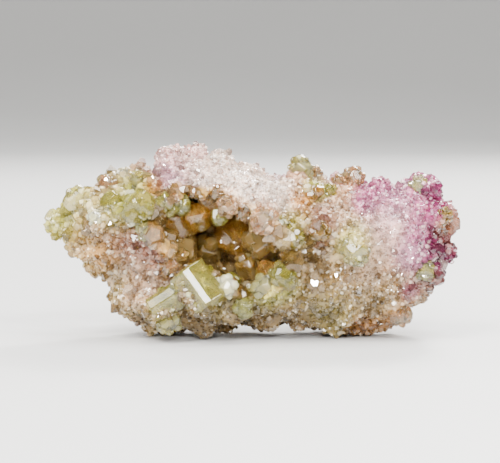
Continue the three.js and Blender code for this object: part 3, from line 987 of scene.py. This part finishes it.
lumps = np.array([sum(high * pebbles(p, size) for size, high in PEBBLES.items()) for p in points])
lumps *= 1 - PEBBLES_WORN * smooth
sink = np.full(count, BODY_SINK)
for x, z, reach, more in SINK_PLACES:
    sink += more * nearness(across, up, x, z, reach)
points += normals * ((lumps - sink) * MM)[:, None]
points[:, 2] = np.maximum(points[:, 2], 0.0)
body.data.vertices.foreach_set("co", points.ravel())
body.data.update()

# %% Give it its colours
BODY_SHADE = 0.45  # it is as light as the mean of the fine crystals
hollow_share = in_hollow(points)
tints = tint_of(points)
tint = body.data.attributes.new("tint", "FLOAT_COLOR", "POINT")
tint.data.foreach_set("color", np.hstack([tints, np.ones((count, 1))]).ravel())
shade = body.data.attributes.new("shade", "FLOAT", "POINT")
shade.data.foreach_set("value", np.full(count, BODY_SHADE))
body.data.materials.clear()
body.data.materials.append(body_skin)
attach(body, "root")
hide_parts("crystal_mass")

# %% [markdown]
# ## The fine crystals
# Four small shapes are enough: two stubby prisms with pyramids, a flat tablet and a slim pointed one.
# Geometry
# Nodes strews them over the body by the thousand, turns each by chance and joins them into a few pieces.

# %% The four small shapes
seedlings = bpy.data.collections.new("seedlings")
bpy.context.scene.collection.children.link(seedlings)


def seedling(name, sides, height, cap, shoulder):
    """A small crystal 2 units wide, standing in the ground, with a pyramid above its shoulder."""
    bm = bmesh.new()
    bmesh.ops.create_cone(bm, cap_ends=True, segments=sides, radius1=0.8, radius2=1.0, depth=shoulder)
    top = max(bm.faces, key=lambda face: face.calc_center_median().z)
    raised = bmesh.ops.extrude_face_region(bm, geom=[top])["geom"]
    raised = [item for item in raised if isinstance(item, bmesh.types.BMVert)]
    bmesh.ops.delete(bm, geom=[top], context="FACES_ONLY")
    bmesh.ops.scale(bm, verts=raised, vec=(cap, cap, 1))
    bmesh.ops.translate(bm, verts=raised, vec=(0.08, 0.05, height))
    bmesh.ops.recalc_face_normals(bm, faces=bm.faces)
    mesh = bpy.data.meshes.new(name)
    bm.to_mesh(mesh)
    bm.free()
    small = bpy.data.objects.new(name, mesh)
    seedlings.objects.link(small)


seedling("seed_1_square", 4, 0.75, 0.5, 1.1)
seedling("seed_2_six", 6, 0.55, 0.6, 0.9)
seedling("seed_3_tablet", 5, 0.35, 0.7, 0.7)
seedling("seed_4_point", 4, 1.1, 0.15, 0.8)


# %% The tree that strews them
def random_number(tree, low, high, seed):
    settings = {"data_type": "FLOAT"}
    return tree.node("FunctionNodeRandomValue", settings, output=1, Min=low, Max=high, Seed=seed)


def random_index(tree, high, seed):
    return tree.node("FunctionNodeRandomValue", {"data_type": "INT"}, output=2, Min=0, Max=high, Seed=seed)


def strewing_tree(name, spacing, least, greatest, tilt, material, seed):
    """Geometry Nodes: points on the skin, a crystal on each, its size and turn by chance."""
    group = bpy.data.node_groups.new(name, "GeometryNodeTree")
    group.interface.new_socket("Geometry", in_out="INPUT", socket_type="NodeSocketGeometry")
    group.interface.new_socket("Geometry", in_out="OUTPUT", socket_type="NodeSocketGeometry")
    tree = Tree(group)
    skin = tree.node("NodeGroupInput")
    cover = tree.node("GeometryNodeInputNamedAttribute", {"data_type": "FLOAT"}, Name="cover")
    spread = tree.node(
        "GeometryNodeDistributePointsOnFaces",
        {"distribute_method": "POISSON"},
        Mesh=skin,
        Distance_Min=spacing * MM,
        Density_Max=1.6 / (spacing * MM) ** 2,
        Density_Factor=cover,
        Seed=seed,
    )
    normal = Value(group, spread.socket.node.outputs["Normal"])
    wobble = tree.node(
        "FunctionNodeRandomValue",
        {"data_type": "FLOAT_VECTOR"},
        Min=(-tilt, -tilt, -tilt),
        Max=(tilt, tilt, tilt),
        Seed=seed + 1,
    )
    lean = tree.vectors("ADD", normal, wobble)
    upright = tree.node("FunctionNodeAlignRotationToVector", {"axis": "Z"}, Vector=lean)
    spin = random_number(tree, 0, math.tau, seed + 2)
    about = tree.node("FunctionNodeAxisAngleToRotation", Angle=spin)
    turned = tree.node(
        "FunctionNodeRotateRotation", {"rotation_space": "LOCAL"}, Rotation=upright, Rotate_By=about
    )
    grain = tree.node("GeometryNodeInputNamedAttribute", {"data_type": "FLOAT"}, Name="grain")
    size = (least + (greatest - least) * random_number(tree, 0, 1, seed + 3) ** 2.4) * grain * MM
    shapes = tree.node(
        "GeometryNodeCollectionInfo",
        {"transform_space": "ORIGINAL"},
        Collection=seedlings,
        Separate_Children=True,
        Reset_Children=True,
    )
    grown = tree.node(
        "GeometryNodeInstanceOnPoints",
        Points=spread,
        Instance=shapes,
        Pick_Instance=True,
        Instance_Index=random_index(tree, 3, seed + 4),
        Rotation=turned,
        Scale=size,
    )
    shaded = tree.node(
        "GeometryNodeStoreNamedAttribute",
        {"data_type": "FLOAT", "domain": "INSTANCE"},
        Geometry=grown,
        Name="shade",
        Value=random_number(tree, 0, 1, seed + 5),
    )
    joined = tree.node("GeometryNodeRealizeInstances", Geometry=shaded)
    flat = tree.node("GeometryNodeSetShadeSmooth", Geometry=joined, Shade_Smooth=False)
    finished = tree.node("GeometryNodeSetMaterial", Geometry=flat, Material=material)
    tree.node("NodeGroupOutput", Geometry=finished)
    return group


# %% Where they grow, and how large
# where the grain is coarser or finer than usual: X, Z, reach, how much
GRAIN_PLACES = [
    (-18.5, 14.0, 3.5, 0.7),
    (-13.0, 15.5, 3.0, 0.6),
    (-4.0, 18.5, 4.5, -0.45),
    (2.0, 17.0, 3.5, -0.3),
    (14.0, 12.0, 5.0, -0.45),
    (13.0, 6.0, 4.0, -0.2),
    (6.5, 11.5, 2.6, 0.7),
    (21.5, 12.0, 1.8, 0.6),
    (20.5, 8.5, 1.8, 0.5),
    (11.0, 4.0, 3.5, 0.15),
    (-12.0, 6.0, 3.0, 0.2),
]
LEAST_GRAIN = 0.5
across, up = front_view(points)
# a slow wave over the whole surface, the named places, and a finer grain where it is smooth
grain_size = 1.0 + 0.12 * np.sin(0.55 * across + 0.8) * np.cos(0.5 * up)
for x, z, reach, more in GRAIN_PLACES:
    grain_size += more * nearness(across, up, x, z, reach)
grain_size = np.maximum(grain_size - 0.35 * smooth, LEAST_GRAIN)
# small grains stand closer than large ones
crowding = np.clip(1 - 1.2 * (grain_size - 0.7), 0.64, 1)
outside_cover = (1 - 0.55 * smooth) * (1 - hollow_share)
body.data.attributes.new("cover", "FLOAT", "POINT")
body.data.attributes.new("grain", "FLOAT", "POINT").data.foreach_set("value", grain_size)


def strew(name, cover, slot, **looks):
    """Grows one piece of joined crystals where cover isn't 0."""
    body.data.attributes["cover"].data.foreach_set("value", cover)
    body.data.update()
    strewing = body.modifiers.new("strewing", "NODES")
    strewing.node_group = strewing_tree(name, **looks)
    depsgraph = bpy.context.evaluated_depsgraph_get()
    mesh = bpy.data.meshes.new_from_object(body.evaluated_get(depsgraph))
    body.modifiers.clear()
    mesh.name = name
    piece = bpy.data.objects.new(name, mesh)
    bpy.context.scene.collection.objects.link(piece)
    corners = triples(mesh.vertices, "co")
    corners[:, 2] = np.maximum(corners[:, 2], 0.0)  # none reaches under the table
    mesh.vertices.foreach_set("co", corners.ravel())
    mesh.update()
    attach(piece, "root")
    mesh.calc_loop_triangles()
    print(name, "has", len(mesh.loop_triangles), "triangles")


# %% Strew the outside, in pieces from left to right
front = points[:, 1] < 0
SLICES = {"left": (-40, -8), "middle": (-8, 7), "right": (7, 40)}
for number, (side, (low, high)) in enumerate(SLICES.items()):
    across_slice = (across >= low) & (across < high)
    for facing, mask in (("front", front), ("back", ~front)):
        strew(
            f"{facing}_{side}_crystals",
            outside_cover * crowding * (across_slice & mask),
            "crystal_mass",
            spacing=0.23,
            least=0.14,
            greatest=0.40,
            tilt=0.9,
            material=fine_skin,
            seed=10 + number,
        )
strew(
    "medium_crystals",
    outside_cover * 0.75,
    "crystal_mass",
    spacing=0.8,
    least=0.26,
    greatest=0.72,
    tilt=0.7,
    material=medium_skin,
    seed=44,
)
strew(
    "hollow_small_crystals",
    hollow_share,
    "vug_crust",
    spacing=0.5,
    least=0.28,
    greatest=1.1,
    tilt=0.8,
    material=hollow_skin,
    seed=60,
)

# %% Clear away the helpers
for small in list(seedlings.objects):
    bpy.data.objects.remove(small)
bpy.data.collections.remove(seedlings)
mass_bm.free()

# %% [markdown]
# ## The floor
# A square whose far edge is drawn up and bent into a soft curve, so that no horizon shows.

# %% Floor
WALL_HEIGHT = 1.4
WALL_BEND = 0.5
FLOOR_GREY = (0.54, 0.54, 0.532, 1)
bm = bmesh.new()
bmesh.ops.create_grid(bm, x_segments=1, y_segments=1, size=1.0)
far_edge = max(bm.edges, key=lambda edge: edge.verts[0].co.y + edge.verts[1].co.y)
raised = bmesh.ops.extrude_edge_only(bm, edges=[far_edge])["geom"]
raised = [item for item in raised if isinstance(item, bmesh.types.BMVert)]
bmesh.ops.translate(bm, verts=raised, vec=(0, 0, WALL_HEIGHT))
bmesh.ops.bevel(
    bm, geom=[far_edge], offset=WALL_BEND, segments=16, profile=0.5, material=-1, affect="EDGES"
)
floor_mesh = bpy.data.meshes.new("floor")
bm.to_mesh(floor_mesh)
bm.free()
floor_mesh.polygons.foreach_set("use_smooth", [True] * len(floor_mesh.polygons))
floor = bpy.data.objects.new("floor", floor_mesh)
floor_material, floor_tree = new_material("pale_floor")
floor_shader = floor_tree.node("ShaderNodeBsdfPrincipled", Base_Color=FLOOR_GREY, Roughness=0.6)
floor_tree.node("ShaderNodeOutputMaterial", Surface=floor_shader)
floor_mesh.materials.append(floor_material)
bpy.context.scene.collection.objects.link(floor)
